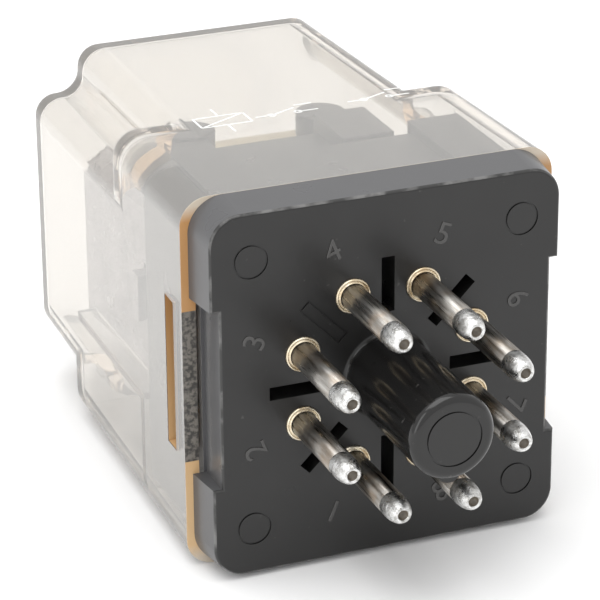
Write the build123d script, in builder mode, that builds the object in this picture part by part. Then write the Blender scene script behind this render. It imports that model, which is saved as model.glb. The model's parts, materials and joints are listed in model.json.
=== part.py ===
# Two pole plug-in relay on an octal (8 pin) plug base, with a clear snap-on cover.
# Millimetres. The plug's axis is Y: the pins point to -Y, the cover stands towards +Y, and
# the key of the locating post is at -Z. The origin is the centre of the pin circle, on the
# face of the base that seats on the socket.
from build123d import *
from math import cos, pi, radians, sin, tan
import os

os.makedirs("parts", exist_ok=True)

# ---- plug: the standard octal dimensions
pin_count = 8
pin_circle_r = 17.45 / 2
pin_d = 2.36
pin_length = 11.0
pin_bore_d = 1.5
pin_nose = 0.75
collar_d = 3.2
collar_t = 0.4
solder_depth = 3.0
solder_crown = 0.35
post_d = 7.9
post_length = 14.2
post_round = 0.8
post_root_r = 0.4
key_w = 2.2
key_rise = 0.6
key_setback = 0.9
post_mark_d = 5.2

# ---- base moulding
flange_w = 35.4
latch_ledge = 0.7
face_draft = 0.5
flange_t = 4.1
face_corner_r = 2.8
face_edge_r = 0.3
pry_notch_w = 17.0
pry_notch_depth = 1.3
slot_w = 1.25
slot_inner_r = 6.0
slot_outer_r = 11.2
slot_depth = 2.8
sealed_slot = 3
ejector_d = 3.2
ejector_inset = 4.4
mark_groove_w = 0.18
mark_groove_depth = 0.12
plinth_y = 15.5
plinth_gap = 1.1
plinth_corner_r = 1.5
guide_inner_x = 9.0
guide_outer_x = 14.0
guide_inner_z = 11.5
guide_gap = 0.2
guide_length = 0.9
tail_y = 6.0

# ---- clear cover
cover_y = 49.3
cover_far_w = 33.8
wall_t = 1.3
corner_r = 2.6
notch = 4.5
notch_convex_r = 2.2
notch_concave_r = 2.2
top_shoulder_y = 24.5
bottom_shoulder_y = 39.0
shoulder_r = 1.9
end_round = 1.1
inner_end_round = 0.5
side_gap = 0.2
window_y = 6.5
window_h = 2.3
window_w = 14.4
latch_fit = 0.15
latch_rise = 0.5
rib_t = 0.9
rib_reach = 1.8
rib_z = -6.5
rib_near_y = 16.6
rib_far_y = 37.0

# ---- magnet frame
frame_z = 0.0
frame_w = 17.0
steel_t = 1.6
yoke_y = 24.2
yoke_left_x = -11.0
yoke_right_x = 11.6
yoke_rise = 16.8
tongue_w = 4.6
tongue_reach = 2.9
coil_y = 35.0
core_d = 6.4
pole_d = 9.4
pole_t = 1.2
core_rivet_d = 7.6
core_rivet_t = 0.8
shading_ring_w = 0.9
shading_ring_t = 0.5
bobbin_flange_w = 18.2
bobbin_flange_t = 1.0
bobbin_tube_t = 0.7
winding_d = 16.4
wrap_d = 17.2
wrap_margin = 1.6
fit_gap = 0.05

# ---- armature and its contacts
armature_t = 1.4
armature_w = 16.6
armature_open = 5.0
armature_far_y = 40.0
armature_near_y = 17.2
armature_corner_r = 1.5
hinge_gap = 0.05
window_gap = 0.45
carrier_x = -7.6
carrier_near_y = 18.2
carrier_far_y = 22.6
carrier_w = 15.6
channel_w = 4.4
channel_far_y = 21.2
arm_y = 20.4
arm_t = 0.35
arm_w = 3.4
arm_root_x = -10.0
pole_pitch = 11.0
contact_x = 3.2
contact_d = 2.8
contact_t = 0.7
rivet_d = 1.3
contact_touch = 0.04
contact_travel = 1.4
arm_overhang = 1.9
terminal_t = 0.6
terminal_w = 3.2
terminal_overhang = 1.7
nc_leg_x = 9.6
no_leg_x = 6.6
block_left_x = 5.0
block_right_x = 10.8
block_t = 1.2
block_w = 15.4
common_x = -5.6
common_d = 1.6
common_height = 1.7

# ---- return spring, flexible leads, wiring and the frame's legs
spring_d = 2.6
spring_wire_d = 0.4
spring_y = 19.5
spring_end_gap = 0.1
bracket_x = -3.0
bracket_t = 0.8
bracket_w = 3.0
bracket_flange = 5.0
bracket_drop = 6.2
braid_d = 1.0
braid_bow = 0.3
braid_gap = 0.25
lead_d = 1.2
lead_bend = 2.5
lead_xs = (5.6, 7.6)
lead_top_y = 33.0
lead_jog_y = 23.5
lead_foot_y = 19.5
lead_gap = 0.1
lead_foot_drop = 2.4
leg_left_x = -2.2
leg_right_x = 4.2
leg_t = 0.9
leg_foot_t = 0.9
leg_foot = 4.0
screw_d = 2.0
screw_head_d = 3.4
screw_head_t = 1.1
screw_length = 6.0
screw_slot_w = 0.5
screw_slot_depth = 0.5

# ---- insulating board along the top edge of the frame
board_near_y = 23.6
board_far_y = 30.0
board_left_x = -10.0
board_right_x = 10.8
board_t = 1.3
board_foot = 0.8
right_block_x = 5.6
right_block_y = 31.0
right_block_rise = 1.6
left_block_x = -5.4
left_block_y = 31.0
left_block_rise = 0.7
boss_d = 4.8
boss_y = 33.2
boss_rise = 0.9
boss_web_w = 2.8
boss_xs = (-6.2, 7.2)


def cover_half(y):
    """Half the cover's outer width at y: its sides draw in towards the far end."""
    share = (y - flange_t) / (cover_y - flange_t)
    return flange_w / 2 + (cover_far_w - flange_w) / 2 * share


# ---- derived places
seat_y = 0.0
cover_inner = cover_half(plinth_y + guide_length) - wall_t
plinth_half_z = cover_inner - plinth_gap
plinth_half_x = cover_inner - side_gap
flange_x = flange_w - 2 * latch_ledge
face_x = flange_x - 2 * face_draft
face_z = flange_w - 2 * face_draft
frame_low_z = frame_z - frame_w / 2
frame_high_z = frame_z + frame_w / 2
hinge_x = yoke_left_x - hinge_gap
pole_x = yoke_left_x + fit_gap
short_leg_x = yoke_right_x - steel_t
poles = {1: frame_z - pole_pitch / 2, 2: frame_z + pole_pitch / 2}
leg_mid_x = (leg_left_x + leg_right_x) / 2
screw_z = frame_w / 2 + leg_foot / 2
screw_places = [(leg_mid_x, frame_z - screw_z), (leg_mid_x, frame_z + screw_z)]
board_z = frame_high_z + board_foot


def at(y):
    """The plane across the plug axis at y. A negative extrusion goes towards the cover."""
    return Plane.XZ.offset(-y)


def side(x):
    """The plane across X at x, its first direction along Y and its second along Z."""
    return Plane.YZ.offset(x)


def level(z):
    """The plane across Z at height z."""
    return Plane.XY.offset(z)


def keep(piece, name):
    """Labels a finished piece and writes it."""
    piece.part.label = name
    export_step(piece.part, f"parts/{name}.step")


def pin_place(number):
    """A pin's x and z: pin 1 is the first one clockwise of the key, seen from the pins."""
    angle = radians(360 / pin_count * (number - 0.5))
    return -pin_circle_r * sin(angle), -pin_circle_r * cos(angle)


# ---- base
pins = [pin_place(number) for number in range(1, pin_count + 1)]
latch_y = window_y + window_h / 2

with BuildPart() as base:
    with BuildSketch(at(seat_y)):
        RectangleRounded(face_x, face_z, face_corner_r)
    with BuildSketch(at(flange_t)):
        RectangleRounded(flange_x, flange_w, face_corner_r + face_draft)
    loft()
    with BuildSketch(at(flange_t)):
        RectangleRounded(2 * plinth_half_x, 2 * plinth_half_z, plinth_corner_r)
    extrude(amount=flange_t - plinth_y)
    guide_mid = (guide_inner_x + guide_outer_x) / 2
    guide_half_z = cover_inner - guide_gap
    guide_mid_z = (guide_inner_z + guide_half_z) / 2
    with BuildSketch(at(flange_t)):
        with Locations([(x * guide_mid, z * guide_mid_z) for x in (-1, 1) for z in (-1, 1)]):
            Rectangle(guide_outer_x - guide_inner_x, guide_half_z - guide_inner_z)
    extrude(amount=flange_t - plinth_y - guide_length)
    for way in (-1, 1):
        with BuildSketch(at(latch_y - window_h / 2 + latch_fit)):
            with Locations((way * plinth_half_x, 0)):
                Rectangle(2 * (side_gap + latch_rise), window_w - 2 * latch_fit)
        extrude(amount=2 * latch_fit - window_h)
        with BuildSketch(at(seat_y)):
            with Locations((way * flange_x / 2, 0)):
                Rectangle(2 * pry_notch_depth, pry_notch_w)
        extrude(amount=-flange_t, mode=Mode.SUBTRACT)
    fillet(base.faces().sort_by(Axis.Y)[0].outer_wire().edges(), face_edge_r)
    with BuildSketch(at(seat_y)):
        Circle(post_d / 2)
    extrude(amount=post_length)
    fillet(base.faces().sort_by(Axis.Y)[0].edges(), post_round)
    root = base.edges().filter_by(GeomType.CIRCLE).filter_by(
        lambda e: abs(e.radius - post_d / 2) < 0.01 and abs(e.center().Y - seat_y) < 0.01)
    fillet(root, post_root_r)
    with BuildSketch(at(seat_y)):
        with Locations((0, key_w / 2 - key_rise - post_d / 2)):
            Circle(key_w / 2)
    extrude(amount=post_length - key_setback)
    with BuildSketch(at(seat_y)):
        with Locations(pins):
            Circle(pin_d / 2)
    extrude(amount=-tail_y, mode=Mode.SUBTRACT)
    with BuildSketch(at(seat_y)):
        with Locations(pins):
            Circle(collar_d / 2)
    extrude(amount=-collar_t, mode=Mode.SUBTRACT)
    with BuildSketch(at(seat_y)):
        slot_mid = (slot_inner_r + slot_outer_r) / 2
        for number in range(1, pin_count + 1):
            turn = 360 / pin_count * number
            if number != sealed_slot:
                with Locations(Rot(0, 0, -90 - turn) * Pos(slot_mid, 0)):
                    Rectangle(slot_outer_r - slot_inner_r, slot_w)
    extrude(amount=-slot_depth, mode=Mode.SUBTRACT)
    with BuildSketch(at(seat_y)):
        with Locations(Rot(0, 0, -90 - 360 / pin_count * sealed_slot) * Pos(slot_mid, 0)):
            Rectangle(slot_outer_r - slot_inner_r, slot_w)
            Rectangle(slot_outer_r - slot_inner_r - 2 * mark_groove_w,
                      slot_w - 2 * mark_groove_w, mode=Mode.SUBTRACT)
    extrude(amount=-mark_groove_depth, mode=Mode.SUBTRACT)
    with BuildSketch(at(plinth_y)):
        with Locations(screw_places):
            Circle(screw_d / 2)
    extrude(amount=screw_length, mode=Mode.SUBTRACT)
    with BuildSketch(at(-post_length)):
        Circle(post_mark_d / 2)
        Circle(post_mark_d / 2 - mark_groove_w, mode=Mode.SUBTRACT)
    extrude(amount=-mark_groove_depth, mode=Mode.SUBTRACT)
    marks = [(x * (face_z / 2 - ejector_inset), z * (face_z / 2 - ejector_inset))
             for x in (-1, 1) for z in (-1, 1)]
    with BuildSketch(at(seat_y)):
        with Locations(marks):
            Circle(ejector_d / 2)
            Circle(ejector_d / 2 - mark_groove_w, mode=Mode.SUBTRACT)
    extrude(amount=-mark_groove_depth, mode=Mode.SUBTRACT)
keep(base, "base")

# ---- contact pins, each with a hollow end closed by solder and a collar flush in the face
for number, (x, z) in enumerate(pins, 1):
    axis = Axis((x, 0, z), (0, 1, 0))
    half = Plane(origin=(x, 0, z), x_dir=(1, 0, 0), z_dir=(0, 0, 1))
    with BuildPart() as pin:
        with BuildSketch(half):
            with BuildLine():
                Polyline((0, solder_depth - pin_length), (0, tail_y), (pin_d / 2, tail_y),
                         (pin_d / 2, collar_t), (collar_d / 2, collar_t), (collar_d / 2, 0),
                         (pin_d / 2, 0), (pin_d / 2, pin_nose - pin_length))
                RadiusArc((pin_d / 2, pin_nose - pin_length),
                          (pin_bore_d / 2 + 0.05, -pin_length), pin_nose)
                Polyline((pin_bore_d / 2 + 0.05, -pin_length), (pin_bore_d / 2, -pin_length),
                         (pin_bore_d / 2, solder_depth - pin_length),
                         (0, solder_depth - pin_length))
            make_face()
        revolve(axis=axis)
    keep(pin, f"pin_{number}")
    with BuildPart() as solder:
        with BuildSketch(at(-pin_length - solder_crown)):
            with Locations((x, z)):
                Circle(pin_bore_d / 2)
        extrude(amount=-solder_crown - solder_depth)
        fillet(solder.faces().sort_by(Axis.Y)[0].edges(), solder_crown - fit_gap)
    keep(solder, f"solder_{number}")


# ---- clear cover
def notched(y, inset):
    """The cover's section with all four corners stepped in, inset from the outside."""
    h = cover_half(y) - inset
    n = h - notch
    quarter = [(h, -n), (h, n), (n, n)]
    turned = [(x * cos(a) - z * sin(a), x * sin(a) + z * cos(a))
              for a in (0, pi / 2, pi, 3 * pi / 2) for x, z in quarter]
    with BuildSketch(at(y)) as outline:
        with BuildLine():
            Polyline(*turned, close=True)
        make_face()
        inner = outline.vertices().filter_by(lambda v: max(abs(v.X), abs(v.Y)) < n + 0.01)
        limit = 0.49 * notch
        fillet(inner, min(notch_concave_r, limit) + inset / 2)
        outer = outline.vertices().filter_by(lambda v: abs(abs(v.X) - abs(v.Y)) > notch - 0.01
                                             and max(abs(v.X), abs(v.Y)) > h - 0.01)
        fillet(outer, min(notch_convex_r, limit) - inset / 2)
    return outline.sketch


def full(y, inset, low_only):
    """The section with full corners; low_only keeps the half below the axis."""
    h = cover_half(y) - inset
    with BuildSketch(at(y)) as outline:
        RectangleRounded(2 * h, 2 * h, corner_r - inset / 2)
        if low_only:
            with Locations((0, h)):
                Rectangle(2 * h, 2 * h, mode=Mode.SUBTRACT)
    return outline.sketch


def cover_form(inset, near_y, end_r):
    """The cover's outside, or its hollow when inset by the wall."""
    with BuildPart() as form:
        loft(sections=[notched(near_y, inset), notched(cover_y - inset, inset)])
        fillet(form.faces().sort_by(Axis.Y)[-1].edges(), end_r)
        for stop, low_only in ((top_shoulder_y, False), (bottom_shoulder_y, True)):
            with BuildPart(mode=Mode.PRIVATE) as corner_block:
                loft(sections=[full(near_y, inset, low_only), full(stop - inset, inset, low_only)])
                fillet(corner_block.faces().sort_by(Axis.Y)[-1].edges(), shoulder_r)
            add(corner_block.part)
    return form.part


hollow = cover_form(wall_t, flange_t, inner_end_round)
with BuildPart() as cover:
    add(cover_form(0, flange_t, end_round))
    add(hollow, mode=Mode.SUBTRACT)
    for way in (-1, 1):
        with BuildSketch(at(window_y)):
            with Locations((way * flange_w / 2, 0)):
                Rectangle(4 * wall_t, window_w)
        extrude(amount=-window_h, mode=Mode.SUBTRACT)
        wall_x = way * (cover_half(rib_far_y) - wall_t / 2)
        with BuildSketch(at(rib_near_y)):
            with Locations((wall_x - way * (rib_reach + wall_t / 2) / 2, rib_z)):
                Rectangle(rib_reach + wall_t / 2, rib_t)
        extrude(amount=rib_near_y - rib_far_y)
        with BuildSketch(at(rib_near_y)):
            foot_z = -cover_half(rib_near_y) + wall_t / 2
            with Locations((wall_x - way * (rib_reach + wall_t / 2) / 2, (rib_z + foot_z) / 2)):
                Rectangle(rib_reach + wall_t / 2, rib_z - foot_z)
        extrude(amount=-rib_t)
keep(cover, "cover")

# ---- magnet frame: yoke, core, shading ring, bobbin and coil
with BuildPart() as yoke:
    with BuildSketch(level(frame_low_z)):
        with BuildLine():
            Polyline((yoke_left_x, yoke_y), (yoke_right_x, yoke_y),
                     (yoke_right_x, yoke_y + yoke_rise), (short_leg_x, yoke_y + yoke_rise),
                     (short_leg_x, yoke_y + steel_t), (yoke_left_x, yoke_y + steel_t), close=True)
        make_face()
    extrude(amount=frame_w)
    with BuildSketch(level(frame_z - tongue_w / 2)):
        with Locations((yoke_left_x - tongue_reach / 2, yoke_y + steel_t / 2)):
            Rectangle(tongue_reach, steel_t)
    extrude(amount=tongue_w)
    with BuildSketch(side(short_leg_x)):
        with Locations((coil_y, frame_z)):
            Circle(core_d / 2)
    extrude(amount=steel_t, mode=Mode.SUBTRACT)
    leg_corners = yoke.edges().filter_by(Axis.X).group_by(Axis.Y)[-1]
    fillet(leg_corners, steel_t)
keep(yoke, "yoke")

with BuildPart() as core:
    with BuildSketch(side(pole_x)):
        with Locations((coil_y, frame_z)):
            Circle(pole_d / 2)
    extrude(amount=pole_t)
    with BuildSketch(side(pole_x)):
        with Locations((coil_y, frame_z)):
            Circle(core_d / 2)
    extrude(amount=yoke_right_x - pole_x)
    with BuildSketch(side(yoke_right_x)):
        with Locations((coil_y, frame_z)):
            Circle(core_rivet_d / 2)
    extrude(amount=core_rivet_t)
    fillet(core.faces().sort_by(Axis.X)[-1].edges(), core_rivet_t / 2)
    with BuildSketch(side(pole_x)):
        with Locations((coil_y, frame_z)):
            Circle(core_d / 2)
            Circle(core_d / 2 - shading_ring_w, mode=Mode.SUBTRACT)
    extrude(amount=shading_ring_t, mode=Mode.SUBTRACT)
keep(core, "core")

with BuildPart() as shading_ring:
    with BuildSketch(side(pole_x + fit_gap)):
        with Locations((coil_y, frame_z)):
            Circle(core_d / 2)
            Circle(core_d / 2 - shading_ring_w, mode=Mode.SUBTRACT)
    extrude(amount=shading_ring_t - fit_gap)
keep(shading_ring, "shading_ring")

bobbin_x = pole_x + pole_t
with BuildPart() as bobbin:
    with BuildSketch(side(bobbin_x)):
        with Locations((coil_y, frame_z)):
            Circle(core_d / 2 + bobbin_tube_t)
    extrude(amount=short_leg_x - bobbin_x)
    for start in (bobbin_x, short_leg_x - bobbin_flange_t):
        with BuildSketch(side(start)):
            with Locations((coil_y, frame_z)):
                RectangleRounded(bobbin_flange_w, bobbin_flange_w, bobbin_flange_w / 4)
        extrude(amount=bobbin_flange_t)
    with BuildSketch(side(bobbin_x)):
        with Locations((coil_y, frame_z)):
            Circle(core_d / 2)
    extrude(amount=short_leg_x - bobbin_x, mode=Mode.SUBTRACT)
keep(bobbin, "bobbin")

winding_x = bobbin_x + bobbin_flange_t
winding_end_x = short_leg_x - bobbin_flange_t
with BuildPart() as winding:
    with BuildSketch(side(winding_x)):
        with Locations((coil_y, frame_z)):
            Circle(winding_d / 2)
            Circle(core_d / 2 + bobbin_tube_t, mode=Mode.SUBTRACT)
    extrude(amount=winding_end_x - winding_x)
keep(winding, "coil_winding")

with BuildPart() as wrap:
    with BuildSketch(side(winding_x + wrap_margin)):
        with Locations((coil_y, frame_z)):
            Circle(wrap_d / 2)
            Circle(winding_d / 2, mode=Mode.SUBTRACT)
    extrude(amount=winding_end_x - winding_x - 2 * wrap_margin)
keep(wrap, "coil_wrap")


# ---- armature: it rocks on the near edge of the yoke's end, held there by the yoke's tongue
def leaf(z):
    """The armature's own plane: tilted open about the hinge line."""
    lean = radians(armature_open)
    return Plane(origin=(hinge_x, yoke_y, z), x_dir=(cos(lean), sin(lean), 0), z_dir=(0, 0, 1))


def inner_face_x(y):
    """Where the armature's inner face is at y, at rest."""
    return hinge_x + (yoke_y - y) * tan(radians(armature_open))


leaf_length = armature_far_y - armature_near_y
leaf_mid = (armature_far_y + armature_near_y) / 2 - yoke_y
with BuildPart() as armature:
    with BuildSketch(leaf(frame_z - armature_w / 2)):
        with Locations((-armature_t / 2, leaf_mid)):
            Rectangle(armature_t, leaf_length)
    extrude(amount=armature_w)
    fillet(armature.edges().filter_by(Axis((0, 0, 0), leaf(0).x_dir)), armature_corner_r)
    with BuildSketch(leaf(frame_z - tongue_w / 2 - window_gap)):
        with Locations((-armature_t / 2, steel_t / 2)):
            Rectangle(2 * armature_t, steel_t + 2 * window_gap)
    extrude(amount=tongue_w + 2 * window_gap, mode=Mode.SUBTRACT)
keep(armature, "armature")

with BuildPart() as carrier:
    with BuildSketch(level(frame_z - carrier_w / 2)):
        with BuildLine():
            Polyline((inner_face_x(carrier_near_y), carrier_near_y), (carrier_x, carrier_near_y),
                     (carrier_x, carrier_far_y), (inner_face_x(carrier_far_y), carrier_far_y),
                     close=True)
        make_face()
    extrude(amount=carrier_w)
    with BuildSketch(level(frame_z - channel_w / 2)):
        with Locations((carrier_x, carrier_near_y)):
            Rectangle(-4 * hinge_x, 2 * (channel_far_y - carrier_near_y))
    extrude(amount=channel_w, mode=Mode.SUBTRACT)
    for pole_z in poles.values():
        with BuildSketch(level(pole_z - arm_w / 2)):
            with Locations(((arm_root_x + carrier_x) / 2, arm_y)):
                Rectangle(carrier_x - arm_root_x, arm_t)
        extrude(amount=arm_w, mode=Mode.SUBTRACT)
keep(carrier, "contact_carrier")

arm_end_x = contact_x + arm_overhang
button_y = arm_t / 2 + contact_t
nc_face_y = arm_y + button_y + contact_touch
no_face_y = arm_y - button_y - contact_travel
for number, pole_z in poles.items():
    with BuildPart() as arm:
        with BuildSketch(at(arm_y - arm_t / 2)):
            with Locations(((arm_root_x + arm_end_x) / 2, pole_z)):
                Rectangle(arm_end_x - arm_root_x, arm_w)
        extrude(amount=-arm_t)
        fillet(arm.edges().filter_by(Axis.Y).group_by(Axis.X)[-1], arm_w / 2 - contact_touch)
        with BuildSketch(at(arm_y - arm_t / 2)):
            with Locations((contact_x, pole_z)):
                Circle(rivet_d / 2)
        extrude(amount=-arm_t, mode=Mode.SUBTRACT)
    keep(arm, f"moving_arm_{number}")

    with BuildPart() as button:
        for start, length, width in ((arm_y - button_y, contact_t, contact_d),
                                     (arm_y - arm_t / 2, arm_t, rivet_d),
                                     (arm_y + arm_t / 2, contact_t, contact_d)):
            with BuildSketch(at(start)):
                with Locations((contact_x, pole_z)):
                    Circle(width / 2)
            extrude(amount=-length)
    keep(button, f"moving_contact_{number}")

    fixed = (("nc", nc_face_y, 1, nc_leg_x), ("no", no_face_y, -1, no_leg_x))
    for name, face_y, way, leg_x in fixed:
        with BuildPart() as contact:
            with BuildSketch(at(face_y)):
                with Locations((contact_x, pole_z)):
                    Circle(contact_d / 2)
            extrude(amount=-way * contact_t)
        keep(contact, f"{name}_contact_{number}")
        back_y = face_y + way * contact_t
        top_y = max(back_y, back_y + way * terminal_t)
        with BuildPart() as terminal:
            with BuildSketch(at(back_y)):
                start_x = contact_x - terminal_overhang
                with Locations(((start_x + leg_x) / 2, pole_z)):
                    Rectangle(leg_x - start_x, terminal_w)
            extrude(amount=-way * terminal_t)
            with BuildSketch(at(plinth_y)):
                with Locations((leg_x - terminal_t / 2, pole_z)):
                    Rectangle(terminal_t, terminal_w)
            extrude(amount=plinth_y - top_y)
        keep(terminal, f"{name}_terminal_{number}")

    with BuildPart() as common:
        with BuildSketch(at(plinth_y)):
            with Locations((common_x, pole_z)):
                Circle(common_d / 2)
        extrude(amount=-common_height)
    keep(common, f"common_terminal_{number}")

    with BuildPart() as braid:
        low = plinth_y + common_height + braid_gap
        high = arm_y - arm_t / 2 - braid_gap
        with BuildLine():
            bow = ThreePointArc((common_x, low, pole_z),
                                (common_x + braid_bow, (low + high) / 2, pole_z),
                                (common_x, high, pole_z))
        with BuildSketch(Plane(origin=bow @ 0, z_dir=bow % 0)):
            Circle(braid_d / 2)
        sweep()
    keep(braid, f"braid_{number}")

with BuildPart() as terminal_block:
    with BuildSketch(at(plinth_y)):
        with Locations(((block_left_x + block_right_x) / 2, frame_z)):
            Rectangle(block_right_x - block_left_x, block_w)
        with Locations([(leg_x - terminal_t / 2, pole_z) for leg_x in (nc_leg_x, no_leg_x)
                        for pole_z in poles.values()]):
            Rectangle(terminal_t, terminal_w, mode=Mode.SUBTRACT)
    extrude(amount=-block_t)
keep(terminal_block, "terminal_block")

# ---- return spring between the armature's tail and a bracket under the yoke
spring_start_x = inner_face_x(spring_y - spring_d / 2) + spring_end_gap
with BuildPart() as return_spring:
    with BuildSketch(side(spring_start_x)):
        with Locations((spring_y, frame_z)):
            Circle(spring_d / 2)
            Circle(spring_d / 2 - spring_wire_d, mode=Mode.SUBTRACT)
    extrude(amount=bracket_x - spring_end_gap - spring_start_x)
keep(return_spring, "return_spring")

with BuildPart() as spring_bracket:
    with BuildSketch(level(frame_z - bracket_w / 2)):
        with BuildLine():
            Polyline((bracket_x, yoke_y - bracket_drop), (bracket_x + bracket_t, yoke_y - bracket_drop),
                     (bracket_x + bracket_t, yoke_y - bracket_t),
                     (bracket_x + bracket_flange, yoke_y - bracket_t),
                     (bracket_x + bracket_flange, yoke_y), (bracket_x, yoke_y), close=True)
        make_face()
    extrude(amount=bracket_w)
    fillet(spring_bracket.edges().filter_by(Axis.Z).group_by(Axis.Y)[-1].sort_by(Axis.X)[0],
           bracket_t)
keep(spring_bracket, "spring_bracket")

# ---- the frame's two legs and their screws into the plinth
for name, way in (("low", -1), ("high", 1)):
    edge_z = frame_z + way * frame_w / 2
    with BuildPart() as leg:
        with BuildSketch(at(plinth_y)):
            with Locations((leg_mid_x, edge_z - way * leg_t / 2)):
                Rectangle(leg_right_x - leg_left_x, leg_t)
        extrude(amount=plinth_y - yoke_y)
        with BuildSketch(at(plinth_y)):
            with Locations((leg_mid_x, edge_z + way * leg_foot / 2)):
                Rectangle(leg_right_x - leg_left_x, leg_foot)
            with Locations((leg_mid_x, edge_z + way * leg_foot / 2)):
                Circle(screw_d / 2, mode=Mode.SUBTRACT)
        extrude(amount=-leg_foot_t)
    keep(leg, f"frame_leg_{name}")

    with BuildPart() as screw:
        with BuildSketch(at(plinth_y + leg_foot_t)):
            with Locations((leg_mid_x, edge_z + way * leg_foot / 2)):
                Circle(screw_head_d / 2)
        extrude(amount=-screw_head_t)
        fillet(screw.faces().sort_by(Axis.Y)[-1].edges(), screw_head_t / 3)
        with BuildSketch(at(plinth_y + leg_foot_t)):
            with Locations((leg_mid_x, edge_z + way * leg_foot / 2)):
                Circle(screw_d / 2)
        extrude(amount=leg_foot_t + screw_length - fit_gap)
        with BuildSketch(at(plinth_y + leg_foot_t + screw_head_t)):
            with Locations((leg_mid_x, edge_z + way * leg_foot / 2)):
                Rectangle(screw_head_d * 2, screw_slot_w)
        extrude(amount=screw_slot_depth, mode=Mode.SUBTRACT)
    keep(screw, f"frame_screw_{name}")

# ---- coil leads, from the coil down to the plinth
lead_z = frame_z - max(bobbin_flange_w, frame_w) / 2 - lead_d / 2 - lead_gap
for number, x in enumerate(lead_xs, 1):
    with BuildPart() as lead:
        with BuildLine():
            route = FilletPolyline((x, lead_top_y, lead_z), (x, lead_jog_y, lead_z),
                                   (x, lead_foot_y, lead_z - lead_foot_drop),
                                   (x, plinth_y, lead_z - lead_foot_drop), radius=lead_bend)
        with BuildSketch(Plane(origin=route @ 0, z_dir=route % 0)):
            Circle(lead_d / 2)
        sweep()
    keep(lead, f"coil_lead_{number}")

# ---- insulating board with its raised blocks and round bosses
with BuildPart() as board:
    with BuildSketch(level(board_z)):
        with Locations(((board_left_x + board_right_x) / 2, (board_near_y + board_far_y) / 2)):
            Rectangle(board_right_x - board_left_x, board_far_y - board_near_y)
        for x in boss_xs:
            with Locations((x, (board_far_y + boss_y) / 2)):
                Rectangle(boss_web_w, boss_y - board_far_y)
    extrude(amount=board_t)
    with BuildSketch(level(frame_high_z)):
        with Locations(((board_left_x + board_right_x) / 2, yoke_y + steel_t / 2)):
            Rectangle(board_right_x - board_left_x, steel_t)
    extrude(amount=board_foot)
    blocks = ((right_block_x, board_right_x, right_block_y, right_block_rise),
              (board_left_x, left_block_x, left_block_y, left_block_rise))
    for low_x, high_x, far_y, rise in blocks:
        with BuildSketch(level(board_z)):
            with Locations(((low_x + high_x) / 2, (board_near_y + far_y) / 2)):
                Rectangle(high_x - low_x, far_y - board_near_y)
        extrude(amount=board_t + rise)
    with BuildSketch(level(board_z)):
        with Locations([(x, boss_y) for x in boss_xs]):
            Circle(boss_d / 2)
    extrude(amount=board_t + boss_rise)
keep(board, "terminal_board")
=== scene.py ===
import json
import math

import bmesh
import bpy
from mathutils import Matrix, Vector


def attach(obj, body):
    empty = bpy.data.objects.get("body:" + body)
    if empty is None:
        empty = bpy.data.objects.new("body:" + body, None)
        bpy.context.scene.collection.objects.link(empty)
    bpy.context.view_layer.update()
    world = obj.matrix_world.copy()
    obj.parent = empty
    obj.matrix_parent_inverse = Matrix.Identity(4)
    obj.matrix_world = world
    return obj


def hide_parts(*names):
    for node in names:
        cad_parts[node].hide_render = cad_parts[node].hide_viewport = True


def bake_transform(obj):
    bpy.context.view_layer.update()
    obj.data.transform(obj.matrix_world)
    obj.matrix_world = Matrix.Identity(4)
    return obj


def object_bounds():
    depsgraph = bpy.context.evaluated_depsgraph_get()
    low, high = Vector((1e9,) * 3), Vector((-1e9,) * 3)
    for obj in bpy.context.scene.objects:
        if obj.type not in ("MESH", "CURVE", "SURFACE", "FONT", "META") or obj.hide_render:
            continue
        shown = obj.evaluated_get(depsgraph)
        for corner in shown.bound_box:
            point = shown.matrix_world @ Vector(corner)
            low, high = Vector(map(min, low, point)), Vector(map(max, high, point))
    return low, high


mm = 0.001
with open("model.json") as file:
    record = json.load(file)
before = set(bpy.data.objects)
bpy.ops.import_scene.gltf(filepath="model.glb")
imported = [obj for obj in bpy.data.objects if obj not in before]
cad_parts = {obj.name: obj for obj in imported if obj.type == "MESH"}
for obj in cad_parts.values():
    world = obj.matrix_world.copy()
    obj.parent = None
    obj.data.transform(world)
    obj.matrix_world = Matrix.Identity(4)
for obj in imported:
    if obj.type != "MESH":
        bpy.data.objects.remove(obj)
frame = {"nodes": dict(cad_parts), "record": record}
cadLow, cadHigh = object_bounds()
nodes = frame["nodes"]


# helpers for node materials
def newMaterial(name, color, roughness, metallic=0.0):
    material = bpy.data.materials.new(name)
    material.use_nodes = True
    shader = material.node_tree.nodes["Principled BSDF"]
    shader.inputs["Base Color"].default_value = (*color, 1)
    shader.inputs["Roughness"].default_value = roughness
    shader.inputs["Metallic"].default_value = metallic
    return material, material.node_tree, shader


def objectCoords(tree, stretch=(1, 1, 1)):
    coords = tree.nodes.new("ShaderNodeTexCoord")
    mapping = tree.nodes.new("ShaderNodeMapping")
    mapping.inputs["Scale"].default_value = stretch
    tree.links.new(coords.outputs["Object"], mapping.inputs["Vector"])
    return mapping.outputs["Vector"]


def noise(tree, vector, scale, detail, roughness=0.55):
    texture = tree.nodes.new("ShaderNodeTexNoise")
    texture.inputs["Scale"].default_value = scale
    texture.inputs["Detail"].default_value = detail
    texture.inputs["Roughness"].default_value = roughness
    tree.links.new(vector, texture.inputs["Vector"])
    return texture.outputs["Fac"]


def spread(tree, source, low, high, fromLow=0.3, fromHigh=0.7):
    stretch = tree.nodes.new("ShaderNodeMapRange")
    stretch.inputs["From Min"].default_value = fromLow
    stretch.inputs["From Max"].default_value = fromHigh
    stretch.inputs["To Min"].default_value = low
    stretch.inputs["To Max"].default_value = high
    tree.links.new(source, stretch.inputs["Value"])
    return stretch.outputs["Result"]


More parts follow.
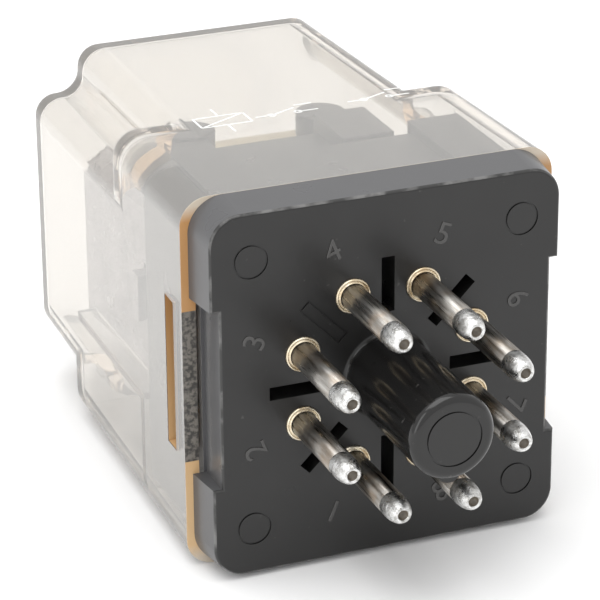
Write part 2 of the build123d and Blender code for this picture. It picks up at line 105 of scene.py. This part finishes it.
def blendColors(tree, factor, colorA, colorB):
    mix = tree.nodes.new("ShaderNodeMix")
    mix.data_type = "RGBA"
    for socket, value in (("A", colorA), ("B", colorB)):
        target = next(s for s in mix.inputs if s.name == socket and s.type == "RGBA")
        if hasattr(value, "links"):
            tree.links.new(value, target)
        else:
            target.default_value = (*value, 1)
    tree.links.new(factor, mix.inputs["Factor"])
    return next(s for s in mix.outputs if s.type == "RGBA")


def addBump(tree, shader, height, depth, strength):
    bump = tree.nodes.new("ShaderNodeBump")
    bump.inputs["Strength"].default_value = strength
    bump.inputs["Distance"].default_value = depth
    tree.links.new(height, bump.inputs["Height"])
    tree.links.new(bump.outputs["Normal"], shader.inputs["Normal"])


def alongAxis(tree, name):
    coords = tree.nodes.new("ShaderNodeTexCoord")
    split = tree.nodes.new("ShaderNodeSeparateXYZ")
    tree.links.new(coords.outputs["Object"], split.inputs["Vector"])
    return split.outputs[name]


def compute(tree, operation, valueA, valueB=0.0):
    node = tree.nodes.new("ShaderNodeMath")
    node.operation = operation
    for socket, value in zip(node.inputs, (valueA, valueB)):
        if hasattr(value, "links"):
            tree.links.new(value, socket)
        else:
            socket.default_value = value
    return node.outputs[0]


def inBand(tree, source, low, high):
    above = compute(tree, "GREATER_THAN", source, low)
    return compute(tree, "MULTIPLY", above, compute(tree, "LESS_THAN", source, high))


# the skirt colour is a painted grazing reflection and the edge colour a painted highlight; the
# rest is the phenolic's own mottled tone
phenolic = dict(dark=(0.007, 0.0068, 0.0067), light=(0.014, 0.0135, 0.013), cloudScale=160,
                postGloss=0.14, faceGloss=0.30, glossFrom=-1.2 * mm, blotchScale=240,
                grainScale=2600, grainDepth=0.008 * mm, speckScale=1500, speckFrom=0.70,
                speckTo=0.78, speckColor=(0.05, 0.048, 0.046), edgeFrom=0.03 * mm,
                skirtFrom=0.28 * mm, skirtTo=4.2 * mm, skirtOut=15.2 * mm,
                skirtSheenColor=(0.085, 0.085, 0.088), edgeHighlightScale=420, edgeHighlightColor=(0.16, 0.158, 0.155))


def makePhenolic():
    material, tree, shader = newMaterial("blackPhenolic", phenolic["dark"],
                                         phenolic["faceGloss"])
    vector = objectCoords(tree)
    cloud = noise(tree, vector, phenolic["cloudScale"], 5)
    body = blendColors(tree, cloud, phenolic["dark"], phenolic["light"])
    specks = spread(tree, noise(tree, vector, phenolic["speckScale"], 2), 0, 1,
                    phenolic["speckFrom"], phenolic["speckTo"])
    body = blendColors(tree, specks, body, phenolic["speckColor"])
    # painted sheen: the skirt round the flange is painted greyer than the face to stand for its
    # grazing reflection, and its front edge gets a painted highlight, broken up by noise
    outward = compute(tree, "MAXIMUM", compute(tree, "ABSOLUTE", alongAxis(tree, "X")),
                      compute(tree, "ABSOLUTE", alongAxis(tree, "Z")))
    isOut = compute(tree, "GREATER_THAN", outward, phenolic["skirtOut"])
    depth = alongAxis(tree, "Y")
    onSkirt = inBand(tree, depth, phenolic["skirtFrom"], phenolic["skirtTo"])
    onEdge = inBand(tree, depth, phenolic["edgeFrom"], phenolic["skirtFrom"])
    # noise that breaks up the painted edge highlight
    highlightBreakup = spread(tree, noise(tree, vector, phenolic["edgeHighlightScale"], 4), 0.1, 0.9, 0.45, 0.62)
    body = blendColors(tree, compute(tree, "MULTIPLY", isOut, onSkirt), body,
                       phenolic["skirtSheenColor"])
    # painted highlight along the flange's front edge, broken up by noise
    onEdge = compute(tree, "MULTIPLY", compute(tree, "MULTIPLY", isOut, onEdge), highlightBreakup)
    tree.links.new(blendColors(tree, onEdge, body, phenolic["edgeHighlightColor"]),
                   shader.inputs["Base Color"])
    grain = noise(tree, vector, phenolic["grainScale"], 3)
    addBump(tree, shader, grain, phenolic["grainDepth"], 0.5)
    gloss = spread(tree, depth, phenolic["postGloss"], phenolic["faceGloss"],
                   phenolic["glossFrom"], 0)
    blotch = spread(tree, noise(tree, vector, phenolic["blotchScale"], 3), -0.03, 0.05)
    tree.links.new(compute(tree, "ADD", gloss, blotch), shader.inputs["Roughness"])
    return material


# the rim colours are painted: an amber glow standing for light refracted along the wall, and
# painted shade behind each window
coverLook = dict(tint=(0.89, 0.882, 0.865), ior=1.55, roughness=0.02, absorb=(1.0, 0.72, 0.36),
                 density=45.0, clear=0.89, rimY=4.16 * mm, rimGlowColor=(0.47, 0.25, 0.095),
                 rimGlowPale=(0.66, 0.45, 0.24), rimShadeColor=(0.045, 0.042, 0.038),
                 pitRim=(0.17, 0.155, 0.135), rimCornerGlow=(0.60, 0.52, 0.42),
                 windowHalf=7.25 * mm, wallInner=16.5 * mm, wallOuter=17.56 * mm,
                 windowFar=8.95 * mm, shadeFrom=14 * mm, glowPaleFrom=-12 * mm, glowPaleTo=6 * mm,
                 cornerFrom=15.6 * mm, cornerTo=17 * mm, rippleScale=120,
                 rippleDepth=0.006 * mm, rimRoughness=0.38, pitScale=2600, pitDepth=0.05 * mm)


def makeClear():
    material, tree, shader = newMaterial("clearCover", coverLook["tint"], coverLook["roughness"])
    shader.inputs["Transmission Weight"].default_value = coverLook["clear"]
    shader.inputs["IOR"].default_value = coverLook["ior"]
    vector = objectCoords(tree)
    ripple = noise(tree, vector, coverLook["rippleScale"], 2)
    addBump(tree, shader, ripple, coverLook["rippleDepth"], 0.4)
    absorb = tree.nodes.new("ShaderNodeVolumeAbsorption")
    absorb.inputs["Color"].default_value = (*coverLook["absorb"], 1)
    absorb.inputs["Density"].default_value = coverLook["density"]
    # painted glow and shade: the wall's cut edges and rim are painted amber as a glow, paler
    # towards the bottom and at the corners, and the rim behind each window is painted dark as
    # shade, with lighter pits
    depth = alongAxis(tree, "Y")
    sideways = compute(tree, "ABSOLUTE", alongAxis(tree, "X"))
    height = compute(tree, "ABSOLUTE", alongAxis(tree, "Z"))
    isRim = compute(tree, "LESS_THAN", depth, coverLook["rimY"])
    nearWindow = compute(tree, "LESS_THAN", height, coverLook["windowHalf"])
    inWall = inBand(tree, sideways, coverLook["wallInner"], coverLook["wallOuter"])
    isCut = compute(tree, "MULTIPLY", compute(tree, "MULTIPLY", inWall, nearWindow),
                    compute(tree, "LESS_THAN", depth, coverLook["windowFar"]))
    edge = tree.nodes.new("ShaderNodeBsdfPrincipled")
    edge.inputs["Roughness"].default_value = coverLook["rimRoughness"]
    # painted glow, paler towards the bottom
    glowPaleness = spread(tree, alongAxis(tree, "Z"), 1, 0, coverLook["glowPaleFrom"],
                      coverLook["glowPaleTo"])
    amberGlow = blendColors(tree, glowPaleness, coverLook["rimGlowColor"], coverLook["rimGlowPale"])
    # painted shade: the rim behind each window is painted dark, speckled with lighter pits
    isShadedRim = compute(tree, "MULTIPLY", compute(tree, "MULTIPLY", isRim, nearWindow),
                     compute(tree, "GREATER_THAN", sideways, coverLook["shadeFrom"]))
    # painted glow, paler at the corners
    atCorner = spread(tree, height, 0, 1, coverLook["cornerFrom"], coverLook["cornerTo"])
    amberGlow = blendColors(tree, atCorner, amberGlow, coverLook["rimCornerGlow"])
    pits = noise(tree, vector, coverLook["pitScale"], 3)
    dull = blendColors(tree, spread(tree, pits, 0, 1, 0.42, 0.6), coverLook["rimShadeColor"],
                       coverLook["pitRim"])
    tree.links.new(blendColors(tree, isShadedRim, amberGlow, dull), edge.inputs["Base Color"])
    addBump(tree, edge, pits, coverLook["pitDepth"], 0.9)
    mix = tree.nodes.new("ShaderNodeMixShader")
    tree.links.new(compute(tree, "MAXIMUM", isRim, isCut), mix.inputs[0])
    tree.links.new(shader.outputs["BSDF"], mix.inputs[1])
    tree.links.new(edge.outputs["BSDF"], mix.inputs[2])
    output = tree.nodes["Material Output"]
    tree.links.new(mix.outputs["Shader"], output.inputs["Surface"])
    tree.links.new(absorb.outputs["Volume"], output.inputs["Volume"])
    return material


pinLook = dict(bright=(0.47, 0.455, 0.43), dull=(0.20, 0.18, 0.155), warm=(0.30, 0.22, 0.15),
               streakScale=3600, streakStretch=0.04, streakDepth=0.012 * mm, patchScale=1500,
               patchStretch=0.12, warmScale=260, glossLow=0.20, glossHigh=0.46)


def makePinMetal():
    material, tree, shader = newMaterial("nickelPin", pinLook["bright"], pinLook["glossHigh"],
                                         1.0)
    streaks = noise(tree, objectCoords(tree, (1, pinLook["streakStretch"], 1)),
                    pinLook["streakScale"], 5)
    patches = noise(tree, objectCoords(tree, (1, pinLook["patchStretch"], 1)),
                    pinLook["patchScale"], 5)
    tone = blendColors(tree, spread(tree, patches, 0, 1, 0.40, 0.66), pinLook["bright"],
                       pinLook["dull"])
    warmth = spread(tree, noise(tree, objectCoords(tree), pinLook["warmScale"], 3), 0, 0.8,
                    0.5, 0.7)
    tone = blendColors(tree, warmth, tone, pinLook["warm"])
    tree.links.new(tone, shader.inputs["Base Color"])
    tree.links.new(spread(tree, streaks, pinLook["glossLow"], pinLook["glossHigh"]),
                   shader.inputs["Roughness"])
    addBump(tree, shader, streaks, pinLook["streakDepth"], 0.7)
    return material


def makeMetal(name, bright, dull, roughness, scale, depth=0.003 * mm):
    material, tree, shader = newMaterial(name, bright, roughness, 1.0)
    vector = objectCoords(tree)
    patches = noise(tree, vector, scale, 4)
    tree.links.new(blendColors(tree, spread(tree, patches, 0, 1), bright, dull),
                   shader.inputs["Base Color"])
    fine = noise(tree, vector, scale * 4, 3)
    tree.links.new(spread(tree, fine, roughness * 0.7, roughness * 1.4),
                   shader.inputs["Roughness"])
    addBump(tree, shader, fine, depth, 0.5)
    return material


tapeLook = dict(pale=(0.86, 0.76, 0.52), deep=(0.70, 0.57, 0.33), roughness=0.42,
                stainScale=300, wrapScale=260, wrapStretch=3, wrapDepth=0.05 * mm)


def makeTape():
    material, tree, shader = newMaterial("creamTape", tapeLook["pale"], tapeLook["roughness"])
    stains = noise(tree, objectCoords(tree), tapeLook["stainScale"], 5)
    tree.links.new(blendColors(tree, stains, tapeLook["pale"], tapeLook["deep"]),
                   shader.inputs["Base Color"])
    wraps = noise(tree, objectCoords(tree, (tapeLook["wrapStretch"], 1, 1)),
                  tapeLook["wrapScale"], 3)
    addBump(tree, shader, wraps, tapeLook["wrapDepth"], 0.6)
    return material


def makePlain(name, dark, light, roughness, scale=400):
    material, tree, shader = newMaterial(name, dark, roughness)
    vector = objectCoords(tree)
    tree.links.new(blendColors(tree, noise(tree, vector, scale, 4), dark, light),
                   shader.inputs["Base Color"])
    addBump(tree, shader, noise(tree, vector, scale * 5, 2), 0.004 * mm, 0.5)
    return material


looks = {
    "phenolic": makePhenolic(),
    "clear_cover": makeClear(),
    "pin_metal": makePinMetal(),
    "solder": makeMetal("solderTin", (0.80, 0.80, 0.80), (0.58, 0.57, 0.55), 0.2, 900,
                        depth=0.02 * mm),
    "steel": makeMetal("magnetSteel", (0.44, 0.42, 0.43), (0.27, 0.25, 0.26), 0.34, 380),
    "spring_wire": makeMetal("springWire", (0.62, 0.61, 0.60), (0.42, 0.41, 0.40), 0.25, 900),
    "copper": makeMetal("bareCopper", (0.80, 0.42, 0.26), (0.50, 0.24, 0.14), 0.3, 900),
    "magnet_wire": makeMetal("magnetWire", (0.62, 0.30, 0.12), (0.40, 0.17, 0.07), 0.28, 700),
    "tape": makeTape(),
    "bronze": makeMetal("phosphorBronze", (0.72, 0.48, 0.26), (0.52, 0.33, 0.17), 0.26, 500),
    "terminal_brass": makeMetal("stampedBrass", (0.80, 0.62, 0.32), (0.58, 0.42, 0.20), 0.28, 500),
    "silver": makeMetal("silverContact", (0.88, 0.87, 0.84), (0.66, 0.64, 0.60), 0.24, 900),
    "lead_sleeve": makePlain("leadSleeve", (0.02, 0.019, 0.018), (0.05, 0.045, 0.04), 0.5),
}
for part in frame["record"]["subparts"]:
    mesh = nodes[part["node"]].data
    mesh.materials.clear()
    mesh.materials.append(looks[part["material_slot"]])
print("materials on the frame's nodes:", len(nodes))


# joins a finished bmesh to its body, slot and material
def finishPiece(bm, name, body, slotName, smooth=True, material=None):
    bmesh.ops.remove_doubles(bm, verts=bm.verts, dist=1e-7)
    bmesh.ops.recalc_face_normals(bm, faces=bm.faces)
    mesh = bpy.data.meshes.new(name)
    bm.to_mesh(mesh)
    bm.free()
    for polygon in mesh.polygons:
        polygon.use_smooth = smooth
    mesh.materials.append(material or looks[slotName])
    piece = bpy.data.objects.new(name, mesh)
    bpy.context.scene.collection.objects.link(piece)
    if body:
        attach(piece, body)
    return piece


def spinProfile(bm, profile, x, z, steps):
    verts = [bm.verts.new((x + radius, y, z)) for radius, y in profile]
    edges = [bm.edges.new(pair) for pair in zip(verts, verts[1:])]
    bmesh.ops.spin(bm, geom=verts + edges, cent=(x, 0, z), axis=(0, 1, 0),
                   angle=2 * math.pi, steps=steps, use_merge=True)


def addTube(bm, points, radius, sides):
    rings = []
    up = Vector((0, 0, 1))
    for index, point in enumerate(points):
        ahead = points[min(index + 1, len(points) - 1)] - points[max(index - 1, 0)]
        ahead.normalize()
        first = up.cross(ahead)
        if first.length < 0.1:
            first = Vector((1, 0, 0)).cross(ahead)
        first.normalize()
        up = ahead.cross(first)
        ring = []
        for step in range(sides):
            turn = 2 * math.pi * step / sides
            outward = first * math.cos(turn) + up * math.sin(turn)
            ring.append(bm.verts.new(point + outward * radius))
        rings.append(ring)
    for ringA, ringB in zip(rings, rings[1:]):
        for step in range(sides):
            bm.faces.new((ringA[step], ringA[(step + 1) % sides], ringB[(step + 1) % sides],
                          ringB[step]))
    bm.faces.new(list(reversed(rings[0])))
    bm.faces.new(rings[-1])


# contact pins: streaked shafts, flared collars and tinned noses with a pit of old solder
# each profile is radius and y in mm, with the seat face at y 0
pinShape = dict(count=8, circle=8.725 * mm, steps=56)
shaftProfile = ((1.05, 0.30), (1.18, 0.20), (1.18, -8.85), (1.02, -8.95))
noseProfile = ((1.17, -8.55), (1.19, -8.9), (1.195, -9.3), (1.18, -9.7), (1.13, -10.15),
               (1.03, -10.6), (0.90, -10.95), (0.76, -11.16), (0.64, -11.26), (0.54, -11.25),
               (0.47, -11.15))
pitProfile = ((0.47, -11.15), (0.40, -10.98), (0.24, -10.84), (0.0, -10.78))
collarProfile = ((1.62, 0.03), (1.64, -0.10), (1.60, -0.20), (1.52, -0.25), (1.44, -0.23),
                 (1.40, -0.15), (1.37, -0.12), (1.33, -0.20), (1.28, -0.27), (1.22, -0.26),
                 (1.19, -0.18), (1.15, -0.10))
tinLook = dict(bright=(0.80, 0.80, 0.79), dull=(0.33, 0.32, 0.30), patchScale=1900,
               glossScale=900, glossLow=0.16, glossHigh=0.42, depth=0.10 * mm)
pitLook = dict(dark=(0.03, 0.022, 0.016), light=(0.22, 0.19, 0.15), roughness=0.35, scale=2200)
goldLook = dict(bright=(0.93, 0.86, 0.70), dull=(0.62, 0.48, 0.30), roughness=0.27, scale=700,
                depth=0.01 * mm)


def pinSpot(number):
    angle = math.radians(360 / pinShape["count"] * (number - 0.5))
    return -math.sin(angle) * pinShape["circle"], -math.cos(angle) * pinShape["circle"]


def makeTurned(name, profile, slotName, material=None, stands=None):
    bm = bmesh.new()
    scaled = [(radius * mm, y * mm) for radius, y in profile]
    for number in range(1, pinShape["count"] + 1):
        spinProfile(bm, scaled, *pinSpot(number), pinShape["steps"])
    piece = finishPiece(bm, name, "base", slotName, material=material)
    if stands:
        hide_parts(*(f"{stands}_{n}" for n in range(1, pinShape["count"] + 1)))


def makeTinned():
    material, tree, shader = newMaterial("tinnedNose", tinLook["bright"], tinLook["glossHigh"],
                                         1.0)
    vector = objectCoords(tree)
    patches = noise(tree, vector, tinLook["patchScale"], 5, 0.7)
    tree.links.new(blendColors(tree, spread(tree, patches, 0, 1, 0.42, 0.68), tinLook["bright"],
                               tinLook["dull"]), shader.inputs["Base Color"])
    cloud = noise(tree, vector, tinLook["glossScale"], 3)
    tree.links.new(spread(tree, cloud, tinLook["glossLow"], tinLook["glossHigh"]),
                   shader.inputs["Roughness"])
    addBump(tree, shader, patches, tinLook["depth"], 0.9)
    return material


makeTurned("pinShafts", shaftProfile, "pin_metal", stands="pin")
makeTurned("pinNoses", noseProfile, "solder", makeTinned(), stands="solder")
makeTurned("pinPits", pitProfile, "solder", makePlain("pittedSolder", **pitLook))
makeTurned("pinCollars", collarProfile, "pin_metal", makeMetal("creamGold", **goldLook))
print("pins turned")

# the return spring and the flexible braids
springShape = dict(start=(-10.42 * mm, 19.5 * mm, 0.0), end=(-3.12 * mm, 19.5 * mm, 0.0),
                   radius=1.08 * mm, wire=0.2 * mm, turns=9, steps=24, sides=10, flatEnd=0.06)
braidShape = dict(x=-5.6 * mm, low=17.32 * mm, high=20.12 * mm, bow=0.3 * mm, poles=(-5.5, 5.5),
                  strands=6, spread=0.29 * mm, wire=0.19 * mm, twists=1.6, steps=26, sides=8)


def makeSpring():
    bm = bmesh.new()
    start, end = Vector(springShape["start"]), Vector(springShape["end"])
    total = springShape["turns"] * springShape["steps"]
    points = []
    for step in range(total + 1):
        share = step / total
        pitch = (share - springShape["flatEnd"]) / (1 - 2 * springShape["flatEnd"])
        pitch = min(max(pitch, 0), 1)  # the end turns lie flat
        turn = 2 * math.pi * springShape["turns"] * share
        points.append(start.lerp(end, pitch)
                      + Vector((0, math.cos(turn), math.sin(turn))) * springShape["radius"])
    addTube(bm, points, springShape["wire"], springShape["sides"])
    piece = finishPiece(bm, "springCoil", None, "spring_wire")
    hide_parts("return_spring")
    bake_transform(piece)


def makeBraids():
    for number, pole in enumerate(braidShape["poles"], 1):
        bm = bmesh.new()
        low, high = braidShape["low"], braidShape["high"]
        for strand in range(braidShape["strands"]):
            points = []
            for step in range(braidShape["steps"] + 1):
                share = step / braidShape["steps"]
                turn = braidShape["twists"] * share + strand / braidShape["strands"]
                turn *= 2 * math.pi
                bow = braidShape["bow"] * math.sin(math.pi * share)
                x = braidShape["x"] + bow + math.cos(turn) * braidShape["spread"]
                z = pole * mm + math.sin(turn) * braidShape["spread"]
                points.append(Vector((x, low + (high - low) * share, z)))
            addTube(bm, points, braidShape["wire"], braidShape["sides"])
        piece = finishPiece(bm, f"braidStrands{number}", None, "copper")
        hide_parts(f"braid_{number}")
        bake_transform(piece)


makeSpring()
makeBraids()
print("spring and braids wound")

# printing on the cover's top: a relay's coil and contact symbols, x and y in mm
printing = dict(line=0.22 * mm, rise=0.015 * mm, coverNear=17.7 * mm, coverFar=16.9 * mm,
                nearY=4.1 * mm, farY=49.3 * mm, ringOuter=0.42 * mm, ringInner=0.22 * mm,
                ringSteps=20)
inkLook = dict(dark=(0.88, 0.88, 0.87), light=(0.80, 0.80, 0.79), roughness=0.5)
symbolLines = (((-9.5, 20.6), (-4.6, 20.6)), ((-4.6, 20.6), (-4.6, 23.2)),
               ((-4.6, 23.2), (-9.5, 23.2)), ((-9.5, 23.2), (-9.5, 20.6)),
               ((-9.5, 20.6), (-4.6, 23.2)), ((-7.0, 18.6), (-7.0, 20.6)),
               ((-7.0, 23.2), (-7.0, 25.2)),
               ((-2.4, 21.4), (0.2, 22.6)), ((0.2, 21.4), (2.2, 21.4)),
               ((0.4, 23.2), (2.2, 23.2)), ((-4.0, 21.4), (-2.4, 21.4)),
               ((7.0, 22.0), (9.6, 23.2)), ((9.6, 22.0), (11.6, 22.0)),
               ((9.8, 23.8), (11.6, 23.8)), ((5.4, 22.0), (7.0, 22.0)))
symbolRings = ((-2.4, 21.4), (0.2, 21.4), (7.0, 22.0), (9.6, 22.0))


def onCoverTop(x, y):
    share = (y - printing["nearY"]) / (printing["farY"] - printing["nearY"])
    height = printing["coverNear"] + (printing["coverFar"] - printing["coverNear"]) * share
    return Vector((x, y, height + printing["rise"]))


def makePrinting():
    bm = bmesh.new()
    half = printing["line"] / 2
    for start, end in symbolLines:
        (x0, y0), (x1, y1) = [(a * mm, b * mm) for a, b in (start, end)]
        length = math.hypot(x1 - x0, y1 - y0)
        offX, offY = -(y1 - y0) / length * half, (x1 - x0) / length * half
        corners = ((x0 + offX, y0 + offY), (x0 - offX, y0 - offY), (x1 - offX, y1 - offY),
                   (x1 + offX, y1 + offY))
        bm.faces.new([bm.verts.new(onCoverTop(*corner)) for corner in corners])
    steps = printing["ringSteps"]
    turns = [2 * math.pi * step / steps for step in range(steps)]
    for x, y in symbolRings:
        outer, inner = [[bm.verts.new(onCoverTop(x * mm + radius * math.cos(turn),
                                                 y * mm + radius * math.sin(turn)))
                         for turn in turns]
                        for radius in (printing["ringOuter"], printing["ringInner"])]
        for step in range(steps):
            after = (step + 1) % steps
            bm.faces.new((outer[step], outer[after], inner[after], inner[step]))
    finishPiece(bm, "coverPrinting", "base", "clear_cover", smooth=False,
                material=makePlain("whiteInk", **inkLook))


makePrinting()
print("cover printed")

# pin numbers, raised on the base's face
numberStyle = dict(size=2.97 * mm, rise=0.10 * mm, radius=13.5 * mm, thin=-0.03 * mm,
                   edge=0.05 * mm, edgeSteps=2)
# the digits are painted lighter than the face: a painted highlight for the light caught by their
# raised edges
digitHighlightLook = dict(dark=(0.035, 0.034, 0.033), light=(0.07, 0.068, 0.066), roughness=0.22)


def makeNumbers():
    bm = bmesh.new()
    for number in range(1, pinShape["count"] + 1):
        curve = bpy.data.curves.new(f"digit{number}", "FONT")
        curve.body = str(number)
        curve.size = numberStyle["size"]
        curve.extrude = numberStyle["rise"] / 2
        curve.offset = numberStyle["thin"]
        curve.bevel_depth = numberStyle["edge"]
        curve.bevel_resolution = numberStyle["edgeSteps"]
        curve.align_x = "CENTER"
        curve.align_y = "CENTER"
        holder = bpy.data.objects.new("digitHolder", curve)
        mesh = bpy.data.meshes.new_from_object(holder)
        bpy.data.objects.remove(holder)
        angle = math.radians(360 / pinShape["count"] * (number - 0.5))
        spot = Vector((-math.sin(angle), 0, -math.cos(angle))) * numberStyle["radius"]
        turn = Matrix.Rotation(math.pi / 2, 4, "X")
        mesh.transform(Matrix.Translation(spot) @ Matrix.Rotation(angle + math.pi, 4, "Y") @ turn)
        bm.from_mesh(mesh)
        bpy.data.meshes.remove(mesh)
    # the digits' lighter material is a painted highlight
    finishPiece(bm, "pinNumbers", "base", "phenolic", smooth=False,
                material=makePlain("numberPaintedHighlight", **digitHighlightLook))


makeNumbers()
print("pin numbers raised")

# floor, light and camera
studio = dict(floorSize=4.0, floorGap=0.02 * mm, floorColor=(0.95, 0.95, 0.95),
              floorRoughness=0.8, worldStrength=1.0)
lights = dict(softTop=dict(place=(-0.10, -0.05, 0.55), aim=(0, 0.01, 0), size=(0.5, 0.5),
                           power=1.8),
              softLeft=dict(place=(-0.5, -0.25, 0.2), aim=(0, 0, 0), size=(0.2, 0.5),
                            power=0.6))
view = dict(azimuth=-21.73, elevation=23.56, roll=-0.44, distance=276 * mm,
            target=(-4.78 * mm, 8.8 * mm, 4.37 * mm), lens=184.6, sensor=36, nearest=0.01)


def makeFloor():
    bm = bmesh.new()
    bmesh.ops.create_grid(bm, x_segments=1, y_segments=1, size=studio["floorSize"] / 2)
    bmesh.ops.translate(bm, verts=bm.verts, vec=(0, 0, cadLow.z - studio["floorGap"]))
    mesh = bpy.data.meshes.new("floor")
    bm.to_mesh(mesh)
    bm.free()
    mesh.materials.append(newMaterial("paleFloor", studio["floorColor"],
                                      studio["floorRoughness"])[0])
    floor = bpy.data.objects.new("floor", mesh)
    bpy.context.scene.collection.objects.link(floor)


def makeWorld():
    world = bpy.data.worlds.new("studioWhite")
    world.use_nodes = True
    background = world.node_tree.nodes["Background"]
    background.inputs["Color"].default_value = (1, 1, 1, 1)
    background.inputs["Strength"].default_value = studio["worldStrength"]
    bpy.context.scene.world = world


def addLight(name, place, aim, size, power):
    lamp = bpy.data.lights.new(name, "AREA")
    lamp.shape = "RECTANGLE"
    lamp.size, lamp.size_y = size
    lamp.energy = power
    holder = bpy.data.objects.new(name, lamp)
    holder.location = place
    holder.rotation_euler = (Vector(aim) - Vector(place)).to_track_quat("-Z", "Y").to_euler()
    bpy.context.scene.collection.objects.link(holder)


def makeCamera():
    azimuth, elevation = math.radians(view["azimuth"]), math.radians(view["elevation"])
    back = Vector((math.sin(azimuth) * math.cos(elevation),
                   -math.cos(azimuth) * math.cos(elevation), math.sin(elevation)))
    data = bpy.data.cameras.new("camera")
    data.lens = view["lens"]
    data.sensor_width = view["sensor"]
    data.clip_start = view["nearest"]
    camera = bpy.data.objects.new("camera", data)
    camera.location = Vector(view["target"]) + back * view["distance"]
    turn = (-back).to_track_quat("-Z", "Y").to_matrix().to_4x4()
    turn = turn @ Matrix.Rotation(math.radians(view["roll"]), 4, "Z")
    camera.rotation_euler = turn.to_euler()
    bpy.context.scene.collection.objects.link(camera)
    bpy.context.scene.camera = camera


makeFloor()
makeWorld()
for name, values in lights.items():
    addLight(name, **values)
makeCamera()
bpy.context.scene.view_settings.view_transform = "Standard"
print("floor, light and camera placed")
